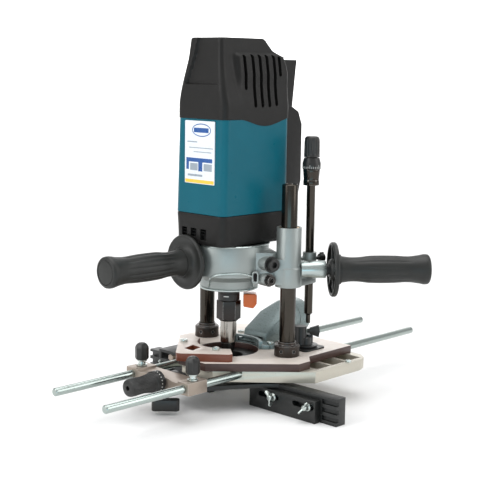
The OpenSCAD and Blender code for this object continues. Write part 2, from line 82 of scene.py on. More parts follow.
def coords(nt, scale=(1, 1, 1)):
    tc = nt.nodes.new("ShaderNodeTexCoord")
    mp = nt.nodes.new("ShaderNodeMapping")
    mp.inputs["Scale"].default_value = scale
    nt.links.new(tc.outputs["Object"], mp.inputs["Vector"])
    return mp.outputs[0], tc

def noise(nt, vec, scale, detail=4, rough=0.55):
    n = nt.nodes.new("ShaderNodeTexNoise")
    n.inputs["Scale"].default_value = scale
    n.inputs["Detail"].default_value = detail
    n.inputs["Roughness"].default_value = rough
    nt.links.new(vec, n.inputs["Vector"])
    return n.outputs["Fac"]

def ramp(nt, fac, stops):
    r = nt.nodes.new("ShaderNodeValToRGB")
    e = r.color_ramp.elements
    while len(e) < len(stops):
        e.new(0.5)
    for el, (p, c) in zip(e, stops):
        el.position = p
        el.color = (*c, 1) if len(c) == 3 else c
    nt.links.new(fac, r.inputs[0])
    return r.outputs[0]

def maprange(nt, fac, a, b, c, d):
    m = nt.nodes.new("ShaderNodeMapRange")
    m.inputs[1].default_value = a; m.inputs[2].default_value = b
    m.inputs[3].default_value = c; m.inputs[4].default_value = d
    nt.links.new(fac, m.inputs[0])
    return m.outputs[0]

def mixc(nt, fac, a, b, mode="MIX"):
    m = nt.nodes.new("ShaderNodeMix")
    m.data_type = "RGBA"
    m.blend_type = mode
    for s, v in ((0, fac), (6, a), (7, b)):
        if isinstance(v, (int, float)):
            m.inputs[s].default_value = v
        elif isinstance(v, tuple):
            m.inputs[s].default_value = (*v, 1) if len(v) == 3 else v
        else:
            nt.links.new(v, m.inputs[s])
    return m.outputs[2]

def math_n(nt, op, a, b=None):
    m = nt.nodes.new("ShaderNodeMath")
    m.operation = op
    for i, v in enumerate((a, b)):
        if v is None:
            continue
        if isinstance(v, (int, float)):
            m.inputs[i].default_value = v
        else:
            nt.links.new(v, m.inputs[i])
    return m.outputs[0]

def bump(nt, b, height, strength, dist):
    n = nt.nodes.new("ShaderNodeBump")
    n.inputs["Strength"].default_value = strength
    n.inputs["Distance"].default_value = dist
    nt.links.new(height, n.inputs["Height"])
    nt.links.new(n.outputs[0], b.inputs["Normal"])
    return n

def edge_mask(nt, radius=0.0006, lo=0.004, hi=0.06):
    """Edge wear mask: where the rounded normal leaves the true one."""
    bv = nt.nodes.new("ShaderNodeBevel")
    bv.samples = 4
    bv.inputs["Radius"].default_value = radius
    g = nt.nodes.new("ShaderNodeNewGeometry")
    d = nt.nodes.new("ShaderNodeVectorMath")
    d.operation = "DOT_PRODUCT"
    nt.links.new(bv.outputs[0], d.inputs[0])
    nt.links.new(g.outputs["Normal"], d.inputs[1])
    inv = math_n(nt, "SUBTRACT", 1.0, d.outputs["Value"])
    return maprange(nt, inv, lo, hi, 0.0, 1.0)

def scl(c, k):
    return tuple(min(1.0, x * k) for x in c)

def plastic(name, col, rough=0.42, grain=2600, bump_s=0.25, var=0.12, spec=0.5, wear=0.25):
    """Moulded plastic: fine spark-erosion grain, slow colour drift, rubbed edges."""
    m, nt, b = new_mat(name)
    v, _ = coords(nt)
    big = noise(nt, v, 28, 4, 0.6)
    fine = noise(nt, v, grain, 2, 0.5)
    c = ramp(nt, big, [(0.3, scl(col, 1 - var)), (0.7, scl(col, 1 + var))])
    if wear:
        em = edge_mask(nt)
        wn = math_n(nt, "MULTIPLY", em, maprange(nt, noise(nt, v, 320, 5, 0.65), 0.42, 0.62, 0.0, wear))
        c = mixc(nt, wn, c, scl(tuple(x + 0.05 for x in col), 1.8))
    nt.links.new(c, b.inputs["Base Color"])
    r = maprange(nt, noise(nt, v, 90, 5, 0.6), 0.3, 0.7, rough - 0.07, rough + 0.07)
    nt.links.new(r, b.inputs["Roughness"])
    b.inputs["Specular IOR Level"].default_value = spec
    bump(nt, b, fine, bump_s, 0.00012)
    return m

def metal(name, col, rough=0.3, var=0.10, brush=None, cast=0.0, metallic=1.0, wear=0.0, coat=0.0, streak=260):
    """brush: axis 0,1,2 along which the polishing lines run; cast: sand-cast grain depth in m."""
    m, nt, b = new_mat(name)
    v, _ = coords(nt)
    big = noise(nt, v, 22, 5, 0.6)
    c = ramp(nt, big, [(0.28, scl(col, 1 - var)), (0.72, scl(col, 1 + var))])
    b.inputs["Metallic"].default_value = metallic
    if wear:
        em = edge_mask(nt)
        c = mixc(nt, math_n(nt, "MULTIPLY", em, wear), c, (0.75, 0.74, 0.72))
    nt.links.new(c, b.inputs["Base Color"])
    if brush is not None:
        s = [streak * 10, streak * 10, streak * 10]
        s[brush] = streak * 0.12
        vb, _ = coords(nt, tuple(x * 0.001 * 1000 / 100 for x in s))
        br = noise(nt, vb, 100, 3, 0.6)
        rr = maprange(nt, br, 0.3, 0.7, max(0.03, rough - 0.08), rough + 0.10)
        bump(nt, b, br, 0.12, 0.00003)
    else:
        gr = noise(nt, v, 900 if cast else 300, 6, 0.65)
        rr = maprange(nt, gr, 0.3, 0.7, max(0.03, rough - 0.08), rough + 0.10)
        if cast:
            bump(nt, b, gr, 0.55, cast)
        else:
            bump(nt, b, gr, 0.1, 0.00003)
    nt.links.new(rr, b.inputs["Roughness"])
    b.inputs["Coat Weight"].default_value = coat
    return m

def lin(r, g, b):
    f = lambda c: (c / 255 / 12.92) if c / 255 <= 0.04045 else (((c / 255) + 0.055) / 1.055) ** 2.4
    return (f(r), f(g), f(b))

def phenolic(name, top, edge):
    """Phenolic sheet: pale decor face up and down, brown layered paper core at the edges."""
    m, nt, b = new_mat(name)
    v, tc = coords(nt)
    sep = nt.nodes.new("ShaderNodeSeparateXYZ")
    nt.links.new(tc.outputs["Normal"], sep.inputs[0])
    up = maprange(nt, math_n(nt, "ABSOLUTE", sep.outputs[2]), 0.80, 0.97, 0.0, 1.0)
    vt, _ = coords(nt, (1, 1, 60))
    lam = noise(nt, vt, 60, 6, 0.7)
    ec = ramp(nt, lam, [(0.25, scl(edge, 0.62)), (0.5, edge), (0.78, scl(edge, 1.45))])
    tn = noise(nt, v, 55, 6, 0.6)
    tcg = ramp(nt, tn, [(0.3, scl(top, 0.95)), (0.7, scl(top, 1.04))])
    sp = noise(nt, v, 1600, 3, 0.6)
    tcg = mixc(nt, maprange(nt, sp, 0.62, 0.75, 0.0, 0.25), tcg, scl(top, 0.72))
    c = mixc(nt, up, ec, tcg)
    nt.links.new(c, b.inputs["Base Color"])
    nt.links.new(maprange(nt, noise(nt, v, 140, 5, 0.6), 0.3, 0.7, 0.30, 0.46), b.inputs["Roughness"])
    bump(nt, b, lam, 0.15, 0.0001)
    return m

M = {}
M["teal"] = plastic("teal_housing", lin(0, 90, 106), 0.34, 3000, 0.12, 0.05, 0.22, 0.10)
M["black"] = plastic("black_housing", lin(24, 23, 22), 0.44, 2400, 0.45, 0.10, 0.26, 0.30)
# near-black plastic used as painted shade: sheets and blades set in the vents, the clamp split and the hood outlet
# stand for the shadow there
M["slot_dark"] = plastic("vent_painted_shade", lin(12, 12, 12), 0.7, 2400, 0.2, 0.1, 0.2, 0.0)
M["plastic"] = plastic("black_plastic", lin(29, 29, 28), 0.38, 2400, 0.35, 0.10, 0.5, 0.35)
M["grip"] = plastic("grip_rubber", lin(30, 31, 29), 0.46, 1900, 0.6, 0.10, 0.42, 0.12)
M["fence"] = plastic("fence_black", lin(24, 25, 24), 0.40, 2200, 0.35, 0.12, 0.5, 0.5)
M["orange"] = plastic("orange_button", lin(214, 100, 30), 0.32, 2600, 0.15, 0.06, 0.5, 0.1)
M["cast"] = metal("cast_alloy", lin(152, 158, 156), 0.42, 0.06, None, 0.00016, 0.72, 0.35)
M["boss"] = metal("boss_alloy", lin(178, 188, 186), 0.26, 0.05, 0, 0, 0.9, 0.2)
M["base"] = metal("base_alloy", lin(192, 187, 174), 0.34, 0.05, None, 0.0001, 0.55, 0.25)
M["hood"] = metal("hood_paint", lin(124, 138, 138), 0.30, 0.06, None, 0.00012, 0.45, 0.4)
M["block"] = metal("block_alloy", lin(158, 145, 133), 0.38, 0.05, 0, 0, 0.55, 0.4)
M["zinc"] = metal("zinc_plate", lin(164, 174, 170), 0.18, 0.06, 0, 0, 0.95)
M["zinc_s"] = metal("zinc_screw", lin(196, 204, 200), 0.24, 0.08, None, 0, 0.95, 0.3)
M["blk_steel"] = metal("black_steel", lin(66, 62, 57), 0.15, 0.08, 2, 0, 0.95, 0.35)
M["collar"] = metal("collar_steel", lin(60, 53, 49), 0.34, 0.10, None, 0, 0.8, 0.5)
M["steel"] = metal("ground_steel", lin(160, 156, 150), 0.14, 0.06, 2, 0, 1.0)
M["nut"] = metal("nut_steel", lin(56, 52, 50), 0.34, 0.12, None, 0, 0.85, 0.5)
M["brass"] = metal("brass", lin(190, 150, 80), 0.3, 0.08)
M["winding"] = metal("winding", lin(120, 80, 60), 0.5, 0.15, None, 0.0002, 0.6)
M["white"] = plastic("label_white", lin(226, 231, 236), 0.30, 1800, 0.05, 0.03, 0.5, 0.0)
M["blue"] = plastic("label_blue", lin(38, 84, 150), 0.30, 1800, 0.05, 0.05, 0.5, 0.0)
M["grey"] = plastic("label_grey", lin(150, 160, 170), 0.30, 1800, 0.05, 0.05, 0.5, 0.0)
M["yellow"] = plastic("label_yellow", lin(236, 196, 70), 0.30, 1800, 0.05, 0.05, 0.5, 0.0)
M["mark"] = plastic("white_mark", lin(225, 225, 220), 0.4, 1800, 0.05, 0.05, 0.5, 0.0)
M["phen_low"] = phenolic("phenolic_low", lin(216, 206, 197), lin(66, 44, 39))
M["phen_up"] = phenolic("phenolic_up", lin(214, 202, 193), lin(108, 55, 36))

# ------------------------------------------------------------------ mesh helpers
def finish_mesh(me, ang=32):
    bm = bmesh.new(); bm.from_mesh(me)
    for f in bm.faces:
        f.smooth = True
    a = math.radians(ang)
    for e in bm.edges:
        e.smooth = not (len(e.link_faces) == 2 and e.calc_face_angle(0) > a)
    bm.to_mesh(me); bm.free()

def add(name, me, body, mat, reps=(), ang=32):
    finish_mesh(me, ang)
    o = bpy.data.objects.new(name, me)
    bpy.context.scene.collection.objects.link(o)
    me.materials.clear(); me.materials.append(mat)
    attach(o, body)
    if reps:
        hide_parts(*reps)
    return o

def bm_mesh(name, bm):
    me = bpy.data.meshes.new(name)
    bmesh.ops.recalc_face_normals(bm, faces=bm.faces)
    bm.to_mesh(me); bm.free()
    return me

def basis(d, up=(0, 0, 1)):
    z = Vector(d).normalized()
    u = Vector(up)
    if abs(z.dot(u)) > 0.99:
        u = Vector((1, 0, 0))
    x = u.cross(z).normalized()
    y = z.cross(x)
    return Matrix((x, y, z)).transposed()

def place(bm, p, d=(0, 0, 1), up=(0, 0, 1), rot=0.0):
    """Local +Z to direction d, origin to p (mm)."""
    m = basis(d, up).to_4x4() @ Matrix.Rotation(rot, 4, "Z")
    m.translation = Vector(p) * MM
    bmesh.ops.transform(bm, matrix=m, verts=bm.verts)

def lathe(prof, seg=96, mod=None):
    """prof: (r, z) in mm from bottom to top; mod(angle, r, z) -> radius."""
    bm = bmesh.new()
    rings = []
    for r, z in prof:
        if r < 1e-6:
            rings.append([bm.verts.new((0, 0, z * MM))])
        else:
            ring = []
            for i in range(seg):
                a = 2 * math.pi * i / seg
                rr = mod(a, r, z) if mod else r
                ring.append(bm.verts.new((rr * math.cos(a) * MM, rr * math.sin(a) * MM, z * MM)))
            rings.append(ring)
    for a, b in zip(rings, rings[1:]):
        n = max(len(a), len(b))
        for i in range(n):
            j = (i + 1) % n
            if len(a) == 1 and len(b) == 1:
                continue
            if len(a) == 1:
                bm.faces.new((a[0], b[j], b[i]))
            elif len(b) == 1:
                bm.faces.new((a[i], a[j], b[0]))
            else:
                bm.faces.new((a[i], a[j], b[j], b[i]))
    return bm

def smooth_prof(pts, n=6):
    """Catmull-Rom through the profile points."""
    out = []
    P = [pts[0]] + list(pts) + [pts[-1]]
    for i in range(1, len(P) - 2):
        p0, p1, p2, p3 = P[i - 1], P[i], P[i + 1], P[i + 2]
        for k in range(n):
            t = k / n
            out.append(tuple(0.5 * ((2 * p1[j]) + (-p0[j] + p2[j]) * t + (2 * p0[j] - 5 * p1[j] + 4 * p2[j] - p3[j]) * t * t + (-p0[j] + 3 * p1[j] - 3 * p2[j] + p3[j]) * t ** 3) for j in (0, 1)))
    out.append(tuple(pts[-1]))
    return out

def round_poly(pts, r, n=5):
    """Polygon with rounded corners; r a number or one per corner."""
    out = []
    k = len(pts)
    for i in range(k):
        p = Vector(pts[i]); a = Vector(pts[i - 1]); b = Vector(pts[(i + 1) % k])
        ri = r[i] if isinstance(r, (list, tuple)) else r
        u = (a - p); v = (b - p)
        lu, lv = u.length, v.length
        u.normalize(); v.normalize()
        ang = u.angle(v)
        if ri <= 0 or abs(ang - math.pi) < 0.02:
            out.append(tuple(p)); continue
        t = min(ri / math.tan(ang / 2), lu * 0.48, lv * 0.48)
        s, e = p + u * t, p + v * t
        for j in range(n + 1):
            q = j / n
            out.append(tuple((1 - q) ** 2 * s + 2 * q * (1 - q) * p + q * q * e))
    return out

def circ(x, y, r, n=64):
    return [(x + r * math.cos(2 * math.pi * i / n), y + r * math.sin(2 * math.pi * i / n)) for i in range(n)]

def prism(name, loops, h, bev=0.5, seg=2):
    """Closed prism from 2D loops (outer first, holes after), z from 0 to h mm, edges rolled by bev."""
    cu = bpy.data.curves.new(name, "CURVE")
    cu.dimensions = "2D"
    cu.fill_mode = "BOTH"
    for lp in loops:
        s = cu.splines.new("POLY")
        s.points.add(len(lp) - 1)
        for q, (x, y) in zip(s.points, lp):
            q.co = (x * MM, y * MM, 0, 1)
        s.use_cyclic_u = True
    cu.extrude = (h / 2 - bev) * MM
    cu.bevel_depth = bev * MM
    cu.bevel_resolution = seg
    cu.offset = -bev * MM
    o = bpy.data.objects.new(name, cu)
    bpy.context.scene.collection.objects.link(o)
    dg = bpy.context.evaluated_depsgraph_get()
    me = bpy.data.meshes.new_from_object(o.evaluated_get(dg))
    bpy.data.objects.remove(o); bpy.data.curves.remove(cu)
    bm = bmesh.new(); bm.from_mesh(me)
    bpy.data.meshes.remove(me)
    bmesh.ops.remove_doubles(bm, verts=bm.verts, dist=1e-6)
    bmesh.ops.translate(bm, verts=bm.verts, vec=(0, 0, h / 2 * MM))
    return bm

def box_bm(x0, x1, y0, y1, z0, z1, bev=0.5, seg=2):
    bm = bmesh.new()
    bmesh.ops.create_cube(bm, size=1)
    for v in bm.verts:
        v.co = Vector(((x0 + x1) / 2 + v.co.x * (x1 - x0), (y0 + y1) / 2 + v.co.y * (y1 - y0), (z0 + z1) / 2 + v.co.z * (z1 - z0))) * MM
    if bev:
        bmesh.ops.bevel(bm, geom=list(bm.edges), offset=bev * MM, segments=seg, profile=0.5, affect="EDGES", clamp_overlap=True)
    return bm

def join(*bms):
    out = bmesh.new()
    for b in bms:
        me = bpy.data.meshes.new("tmp")
        b.to_mesh(me); b.free()
        out.from_mesh(me)
        bpy.data.meshes.remove(me)
    return out

def boolean(bm, cutters, name="b"):
    """Difference with a joined cutter, exact solver, result back as bmesh."""
    me = bm_mesh(name, bm)
    o = bpy.data.objects.new(name, me); bpy.context.scene.collection.objects.link(o)
    cm = bm_mesh(name + "_c", join(*cutters))
    c = bpy.data.objects.new(name + "_c", cm); bpy.context.scene.collection.objects.link(c)
    md = o.modifiers.new("b", "BOOLEAN"); md.object = c; md.operation = "DIFFERENCE"; md.solver = "EXACT"; md.use_self = True
    dg = bpy.context.evaluated_depsgraph_get(); dg.update()
    r = bpy.data.meshes.new_from_object(o.evaluated_get(dg))
    bpy.data.objects.remove(o); bpy.data.objects.remove(c)
    bpy.data.meshes.remove(me); bpy.data.meshes.remove(cm)
    out = bmesh.new(); out.from_mesh(r); bpy.data.meshes.remove(r)
    return out

def soften(node, mat, w=0.4, seg=2, ang=30, sharp=32):
    """A copy of the node's own form with its edges rounded."""
    src = N[node]
    bm = bmesh.new(); bm.from_mesh(src.data)
    bmesh.ops.remove_doubles(bm, verts=bm.verts, dist=2e-6)
    bmesh.ops.dissolve_limit(bm, angle_limit=math.radians(0.5), use_dissolve_boundaries=False, verts=list(bm.verts), edges=list(bm.edges))
    # each loose part on its own, so one small part does not limit the others
    todo = set(bm.verts)
    groups = []
    while todo:
        s = [todo.pop()]; g = set(s)
        while s:
            v = s.pop()
            for e in v.link_edges:
                q = e.other_vert(v)
                if q not in g:
                    g.add(q); s.append(q)
        todo -= g
        groups.append(g)
    for g in groups:
        ed = {e for v in g if v.is_valid for e in v.link_edges}
        ed = [e for e in ed if e.is_valid and len(e.link_faces) == 2 and e.calc_face_angle(0) > math.radians(ang)]
        if not ed:
            continue
        short = sorted(e.calc_length() for e in ed)
        lim = short[max(0, int(len(short) * 0.02))] * 0.45
        bmesh.ops.bevel(bm, geom=ed, offset=min(w * MM, max(lim, 0.00004)), segments=seg, profile=0.5, affect="EDGES", clamp_overlap=True)
    bmesh.ops.dissolve_degenerate(bm, dist=1e-7, edges=list(bm.edges))
    me = bm_mesh(node + "_soft", bm)
    return add(node + "_finish", me, BODY[node], mat, (node,), sharp)

# ------------------------------------------------------------------ simple nodes: own form, rounded edges
SOFT = {
 "base_casting": ("base", 0.6), "guide_bush": ("plastic", 0.4), "plate_screws": ("zinc_s", 0.35), "columns": ("blk_steel", 0.2),
 "column_collars": ("collar", 0.4), "grub_screws": ("plastic", 0.1), "dust_hood": ("hood", 0.5), "turret_foot": ("plastic", 0.5),
 "side_rail": ("fence", 0.5), "side_bar": ("block", 0.3), "carriage_casting": ("cast", 0.9), "clamp_bolts": ("plastic", 0.3),
 "lower_housing": ("black", 0.9), "motor_shell": ("teal", 0.4), "top_cap": ("black", 1.2), "label_plate": ("white", 0.1), "rear_box": ("black", 1.5),
 "rear_riser": ("black", 1.2), "cord_gland": ("grip", 0.5), "handle_bosses": ("boss", 0.4), "collet_nut": ("nut", 0.5), "cutter": ("steel", 0.2),
 "lock_button": ("orange", 0.9), "power_rocker": ("plastic", 0.6), "depth_rod": ("blk_steel", 0.3), "depth_scale": ("plastic", 0.4), "depth_knob": ("plastic", 0.2),
 "depth_screw": ("plastic", 0.3), "turret": ("plastic", 0.4), "turret_wing": ("plastic", 0.5), "guide_rods": ("zinc", 0.2), "clamp_block": ("block", 1.0),
 "block_knob_front": ("plastic", 0.5), "block_knob_rear": ("plastic", 0.5), "lower_knob": ("plastic", 0.8), "micro_knob": ("plastic", 0.4),
 "fence_body": ("fence", 0.5), "jaw_front": ("fence", 0.6), "jaw_rear": ("fence", 0.6), "spindle_shaft": ("nut", 0.3), "left_handle": ("grip", 0.3), "right_handle": ("grip", 0.3), "left_end_cap": ("grip", 0.3), "right_end_cap": ("grip", 0.3),
 "base_plate": ("phen_low", 0.4), "upper_plate": ("phen_up", 0.4),
 "wing_screw_1": ("zinc_s", 0.3), "wing_screw_2": ("zinc_s", 0.3), "wing_screw_3": ("zinc_s", 0.3), "wing_screw_4": ("zinc_s", 0.3),
}
DONE = set()
CADBOX = {k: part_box(k) for k in ("block_knob_front", "block_knob_rear", "dust_hood")}
# ------------------------------------------------------------------ lofted housings
def lerp_tab(tab, z):
    if z <= tab[0][0]:
        return tab[0][1]
    for (z0, v0), (z1, v1) in zip(tab, tab[1:]):
        if z <= z1:
            t = (z - z0) / (z1 - z0)
            return v0 + (v1 - v0) * t
    return tab[-1][1]

def smooth_tab(tab, z):
    w = 2.2
    return (lerp_tab(tab, z - w) + 2 * lerp_tab(tab, z) + lerp_tab(tab, z + w)) / 4

def sstep(a, b, x):
    t = max(0.0, min(1.0, (x - a) / (b - a)))
    return t * t * (3 - 2 * t)

def ring_pts(xa, xb, ya, yb, r, nx=24, ny=24, nc=8):
    """Rounded rectangle, constant count: -X face (from +Y to -Y), -Y face, +X face, +Y face. Yields (x, y, face, u)."""
    out = []
    def line(p, q, n, f):
        for i in range(n):
            t = i / n
            out.append((p[0] + (q[0] - p[0]) * t, p[1] + (q[1] - p[1]) * t, f, t))
    def arc(cx, cy, a0, f):
        for i in range(nc):
            a = math.radians(a0 + 90 * i / nc)
            out.append((cx + r * math.cos(a), cy + r * math.sin(a), f, i / nc))
    line((xa, yb - r), (xa, ya + r), ny, 0); arc(xa + r, ya + r, 180, 4)
    line((xa + r, ya), (xb - r, ya), nx, 1); arc(xb - r, ya + r, 270, 5)
    line((xb, ya + r), (xb, yb - r), ny, 2); arc(xb - r, yb - r, 0, 6)
    line((xb - r, yb), (xa + r, yb), nx, 3); arc(xa + r, yb - r, 90, 7)
    return out

def loft(rows, cap0=True, cap1=True):
    bm = bmesh.new()
    R = [[bm.verts.new(Vector(p) * MM) for p in row] for row in rows]
    n = len(R[0])
    for a, b in zip(R, R[1:]):
        for i in range(n):
            j = (i + 1) % n
            bm.faces.new((a[i], a[j], b[j], b[i]))
    if cap0:
        bm.faces.new(list(reversed(R[0])))
    if cap1:
        bm.faces.new(R[-1])
    return bm

# motor shell: drafted moulding with rolled top and bottom edges
def shell_row(z, off=0.0, r=7.5):
    t = (255 - z) / 93.0
    return ring_pts(-42 - 0.8 * t - off, 51 + off, -33.6 - 0.1 * t - off, 33.6 + 2.0 * t + off, r + off, 44, 24, 8)
rows = []
for z, off in ((161.9, -1.0), (162.05, -0.35), (162.4, 0), (170, 0), (180, 0), (200, 0), (220, 0), (240, 0), (248, 0), (252, 0), (254.6, 0), (255.0, -0.3), (255.6, -1.0)):
    rows.append([(x, y, z) for x, y, f, u in shell_row(z, off)])
add("motor_shell_finish", bm_mesh("motor_shell_finish", loft(rows)), BODY["motor_shell"], M["teal"], ("motor_shell",), 30)
DONE.add("motor_shell")

# lower housing with its three vents and a stepped foot
rows = []
for z, off, r in ((131.0, -5, 7), (131.2, -2.2, 9), (132.0, -0.9, 10), (133.6, -0.2, 10.6), (136, 0, 10.8), (142, 0.0, 10.5), (150, 0, 9.6), (158, 0, 8.4), (160.8, 0, 8), (161.5, -0.3, 8), (161.8, -1.2, 7)):
    rows.append([(x, y, z) for x, y, f, u in ring_pts(-42.9 - off, 51 + off, -33.8 - off, 35.8 + off, r, 44, 24, 8)])
bm = loft(rows)
cut = []
for y, w, zb in ((20.5, 7.4, 139.2), (7.6, 8.4, 139.2), (-6.2, 8.4, 136.5)):
    cut.append(box_bm(-50, -37.5, y - w / 2, y + w / 2, zb, 147.6, 0.6, 2))
bm = boolean(bm, cut, "lh")
add("lower_housing_finish", bm_mesh("lower_housing_finish", bm), BODY["lower_housing"], M["black"], ("lower_housing",), 30)
for i, (y, w, zb) in enumerate(((20.5, 7.4, 139.2), (7.6, 8.4, 139.2), (-6.2, 8.4, 136.5))):
    # louvre blades inside each vent, coloured near-black as painted shade of the vent recess
    bl = [box_bm(-41.4, -38.2, y - w / 2 - 0.2, y + w / 2 + 0.2, z, z + 0.9, 0.2, 1) for z in (141.2, 144.4)]
    add("vent_louvre_%d" % i, bm_mesh("vl", join(*bl)), "carriage", M["slot_dark"], ())
DONE.add("lower_housing")

# top cap
XA = [(248, 42.5), (281, 42.3), (290, 41.4), (300, 40), (313, 38.2), (333, 36.4)]
HY = [(248, 34.1), (270, 34.0), (281, 31.4), (290, 29.2), (300, 26.8), (313, 24.0), (333, 21.8)]
HOOD = [(248, 34.1), (270, 34.0), (318, 26.6), (333, 24)]
XB = [(248, 51.5), (300, 51.4), (306, 50.6), (312, 48.6), (316, 45.8), (319, 41.5), (321.5, 36.5), (327, 31), (333, 25.5)]
def cap_row(z, off=0.0):
    xa = -smooth_tab(XA, z); hy = smooth_tab(HY, z); xb = lerp_tab(XB, z)
    r = lerp_tab([(248, 7.5), (270, 7), (300, 5), (333, 4)], z)
    bulge = (smooth_tab(HOOD, z) - hy) * sstep(272, 284, z)
    bulge = (bulge + 1.6 * sstep(285, 300, z)) * (1 - sstep(314.5, 320.5, z))
    row = []
    for x, y, f, u in ring_pts(xa - off, xb + off, -hy - off, hy + off, r, 66, 36, 8):
        dx = dy = 0.0
        if f == 0:
            yy = y / hy
            w0 = lerp_tab([(286, 0.80), (333, 0.50)], z); w1 = lerp_tab([(286, 0.86), (333, 0.76)], z)
            d = 3.4 * sstep(287.6, 289.4, z)
            dx = d * (1 - sstep(w0 - 0.045, w0 + 0.025, yy)) * (1 - sstep(w1 - 0.04, w1 + 0.02, -yy))
        if f in (1, 3):
            k = sstep(-24, -17, x)
            dy = bulge * k * (-1 if f == 1 else 1)
        if f in (5, 6):
            dy = bulge * (-1 if f == 5 else 1)
        row.append((x + dx, y + dy, z))
    return row
rows = []
def skirt(x, f):
    if f not in (1, 3):
        return 0.0
    t = (x - 14.5) / 35.0
    return 6.8 * max(0.0, math.cos(t * math.pi / 2)) ** 1.6 if abs(t) < 1 else 0.0
base = ring_pts(-42.5, 51.5, -34.1, 34.1, 7.5, 66, 36, 8)
for dz, off in ((0.0, -0.5), (0.25, -0.1), (0.9, 0.0)):
    rows.append([(x - (off if f in (0, 4, 7) else 0) * 1.0 if f in (0, 4, 7) else x + (off if f == 2 else 0), y + (-off if f in (1, 4, 5) else off if f in (3, 6, 7) else 0), 254.8 - skirt(x, f) + dz) for x, y, f, u in base])
for z in (257, 260, 264, 268, 272, 276, 280, 284, 286.5, 287.6, 288.2, 288.8, 289.4, 291, 294, 298, 302, 306, 309, 312, 314, 316, 317.5, 319, 320.2, 321.5, 324, 328, 331):
    rows.append(cap_row(z))
rows.append(cap_row(332.3, -0.35)); rows.append(cap_row(333.0, -1.2))
bm = loft(rows, True, False)
# roof: flat inner rings closing the top
last = cap_row(333.0, -1.2)
cx, cy = -5.0, 0.0
for k, dz in ((0.8, 0.0), (0.4, 0.0), (0.02, 0.0)):
    rows.append([(cx + (x - cx) * k, cy + (y - cy) * k, 333.0 + dz) for x, y, z in last])
bm.free()
bm = loft(rows, True, True)
cut = []
SL = [(-11.5, 283, 317), (0, 266, 317.5), (10, 266, 317.5), (20, 266, 317.5), (30, 267, 317.5), (37.8, 296, 316)]
for x, z0, z1 in SL:
    for s in (-1, 1):
        pts = circ(0, 0, 2.1, 16)
        top = [(px, (z1 - 2.1) + py) for px, py in pts[0:9]]
        bot = [(px, (z0 + 2.1) + py) for px, py in pts[8:16]] + [(2.1, z0 + 2.1)]
        b = prism("sl", [top + bot], 22, 0.01, 1)
        bmesh.ops.transform(b, matrix=Matrix(((1, 0, 0, x * MM), (0, 0, -s, s * (44 if s > 0 else 44) * MM), (0, 1, 0, 0), (0, 0, 0, 1))) if s > 0 else Matrix(((1, 0, 0, x * MM), (0, 0, 1, -44 * MM), (0, 1, 0, 0), (0, 0, 0, 1))), verts=b.verts)
        cut.append(b)
bm = boolean(bm, cut, "cap")
add("top_cap_finish", bm_mesh("top_cap_finish", bm), BODY["top_cap"], M["black"], ("top_cap",), 34)
DONE.add("top_cap")

# label: plate with generic blocks only
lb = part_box("label_plate")
lx, ly0, ly1, lz0, lz1 = lb[0].x / MM - 0.75, lb[0].y / MM, lb[1].y / MM, lb[0].z / MM, lb[1].z / MM
def tag(name, y0, y1, z0, z1, mat, dx, bev=0.3):
    add(name, bm_mesh(name, box_bm(lx - dx, lx + 0.9, y0, y1, z0, z1, min(bev, 0.08), 1)), "carriage", M[mat], ())
b = prism("lab", [round_poly([(ly0, lz0), (ly1, lz0), (ly1, lz1), (ly0, lz1)], 1.2, 4)], 1.0, 0.08, 1)
bmesh.ops.transform(b, matrix=Matrix(((0, 0, 1, (lx - 0.05) * MM), (1, 0, 0, 0), (0, 1, 0, 0), (0, 0, 0, 1))), verts=b.verts)
add("label_plate_finish", bm_mesh("label_plate_finish", b), "carriage", M["white"], ("label_plate",))
DONE.add("label_plate")
yc = (ly0 + ly1) / 2
w = ly1 - ly0
def L(u):
    return ly1 - u * w
def Zl(v):
    return lz1 - v * (lz1 - lz0)
# oval outline ring as a plain ornament
outer = [(L(0.56) + 13.2 * math.cos(a), Zl(0.145) + 6.4 * math.sin(a)) for a in [2 * math.pi * i / 48 for i in range(48)]]
inner = [(L(0.56) + 12.3 * math.cos(a), Zl(0.145) + 5.5 * math.sin(a)) for a in [2 * math.pi * i / 48 for i in range(48)]]
b = prism("oval", [outer, inner], 0.9, 0.02, 1)
bmesh.ops.transform(b, matrix=Matrix(((0, 0, 1, (lx - 0.12) * MM), (1, 0, 0, 0), (0, 1, 0, 0), (0, 0, 0, 1))), verts=b.verts)
add("label_oval", bm_mesh("label_oval", b), "carriage", M["blue"], ())
tag("label_bar_a", L(0.80), L(0.30), Zl(0.185), Zl(0.11), "blue", 0.12)
tag("label_bar_b", L(0.42), L(0.08), Zl(0.345), Zl(0.325), "grey", 0.12)
tag("label_bar_c", L(0.95), L(0.14), Zl(0.435), Zl(0.42), "grey", 0.12)
tag("label_bar_d", L(0.90), L(0.30), Zl(0.50), Zl(0.485), "grey", 0.12)
tag("label_band", L(0.93), L(0.05), Zl(0.655), Zl(0.59), "blue", 0.12)
tag("label_leg_a", L(0.14), L(0.05), Zl(0.78), Zl(0.655), "blue", 0.12)
tag("label_leg_b", L(0.60), L(0.46), Zl(0.80), Zl(0.655), "blue", 0.12)
tag("label_tint_a", L(0.44), L(0.18), Zl(0.79), Zl(0.675), "grey", 0.10)
tag("label_tint_b", L(0.92), L(0.64), Zl(0.79), Zl(0.675), "grey", 0.10)
tag("label_strip", L(0.985), L(0.015), Zl(0.99), Zl(0.935), "yellow", 0.12)
tag("label_bar_e", L(0.60), L(0.10), Zl(0.885), Zl(0.85), "grey", 0.12)

